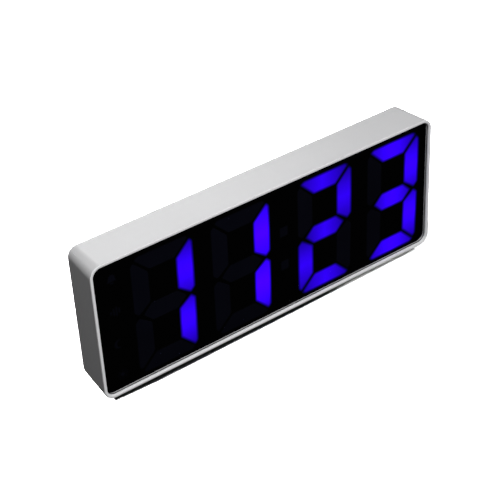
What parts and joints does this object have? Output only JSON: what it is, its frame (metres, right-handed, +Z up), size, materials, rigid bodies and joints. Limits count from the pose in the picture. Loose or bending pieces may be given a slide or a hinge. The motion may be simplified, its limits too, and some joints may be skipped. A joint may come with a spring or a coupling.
{
  "type": "alarm clock",
  "caption": "Slim free-standing LED alarm clock: white case, black mirror-gloss front panel over large seven-segment digits, rear battery box with hinged door and push buttons.",
  "frame": {"origin": "centre of the footprint of the whole clock, on the plane that its feet stand on", "axes": "+X right seen from the front, along the longest side; front panel faces -Y; +Z up"},
  "size_m": [0.1654, 0.024, 0.063],
  "materials": {
    "white_case": "fine satin white ABS",
    "white_cover": "fine spark-eroded white ABS",
    "white_button": "satin white ABS",
    "smoked_panel": "black smoked acrylic, mirror gloss",
    "black_tape": "thin foam tape",
    "diffuser": "translucent white film",
    "black_reflector": "matte black ABS",
    "circuit_board": "green solder mask",
    "chip": "matte black epoxy or nylon",
    "bright_metal": "nickel or tin plated",
    "screw_steel": "zinc plated",
    "battery": "plain dark sleeve, no marks",
    "rubber": "matte black rubber",
    "black_wire": "black insulation",
    "red_wire": "red insulation"
  },
  "bodies": {
    "case": {"front_shell": "white_case", "rear_cover": "white_cover", "front_panel": "smoked_panel", "panel_adhesive": "black_tape", "diffuser_sheet": "diffuser", "segment_reflector": "black_reflector", "main_board": "circuit_board", "microcontroller": "chip", "display_driver": "chip", "buzzer": "chip", "thermistor": "chip", "mode_switch": "chip", "alarm_switch": "chip", "set_switch": "chip", "up_switch": "chip", "down_switch": "chip", "crystal": "bright_metal", "capacitor": "bright_metal", "usb_socket": "bright_metal", "contact_negative": "bright_metal", "contact_link_left": "bright_metal", "contact_link_right": "bright_metal", "contact_positive": "bright_metal", "case_screw_1": "screw_steel", "case_screw_2": "screw_steel", "case_screw_3": "screw_steel", "case_screw_4": "screw_steel", "board_screw_1": "screw_steel", "board_screw_2": "screw_steel", "board_screw_3": "screw_steel", "board_screw_4": "screw_steel", "battery_1": "battery", "battery_2": "battery", "battery_3": "battery", "foot_1": "rubber", "foot_2": "rubber", "foot_3": "rubber", "foot_4": "rubber", "wire_negative": "black_wire", "wire_positive": "red_wire"},
    "battery_door": {"battery_door": "white_cover"},
    "mode_button": {"mode_button": "white_button", "mode_plunger": "chip"},
    "alarm_button": {"alarm_button": "white_button", "alarm_plunger": "chip"},
    "set_button": {"set_button": "white_button", "set_plunger": "chip"},
    "up_button": {"up_button": "white_button", "up_plunger": "chip"},
    "down_button": {"down_button": "white_button", "down_plunger": "chip"}
  },
  "joints": [
    {"name": "battery_door_hinge", "type": "hinge", "parent": "case", "child": "battery_door", "pos_m": [0, 0.0111, 0.04955], "axis": [1, 0, 0], "range_deg": [0, 100]},
    {"name": "mode_press", "type": "slide", "parent": "case", "child": "mode_button", "axis": [0, -1, 0], "range_m": [0, 0.0006], "stiffness_N_per_m": 300, "springref_m": -0.0005},
    {"name": "alarm_press", "type": "slide", "parent": "case", "child": "alarm_button", "axis": [0, -1, 0], "range_m": [0, 0.0006], "stiffness_N_per_m": 300, "springref_m": -0.0005},
    {"name": "set_press", "type": "slide", "parent": "case", "child": "set_button", "axis": [0, -1, 0], "range_m": [0, 0.0006], "stiffness_N_per_m": 300, "springref_m": -0.0005},
    {"name": "up_press", "type": "slide", "parent": "case", "child": "up_button", "axis": [0, -1, 0], "range_m": [0, 0.0006], "stiffness_N_per_m": 300, "springref_m": -0.0005},
    {"name": "down_press", "type": "slide", "parent": "case", "child": "down_button", "axis": [0, -1, 0], "range_m": [0, 0.0006], "stiffness_N_per_m": 300, "springref_m": -0.0005}
  ]
}
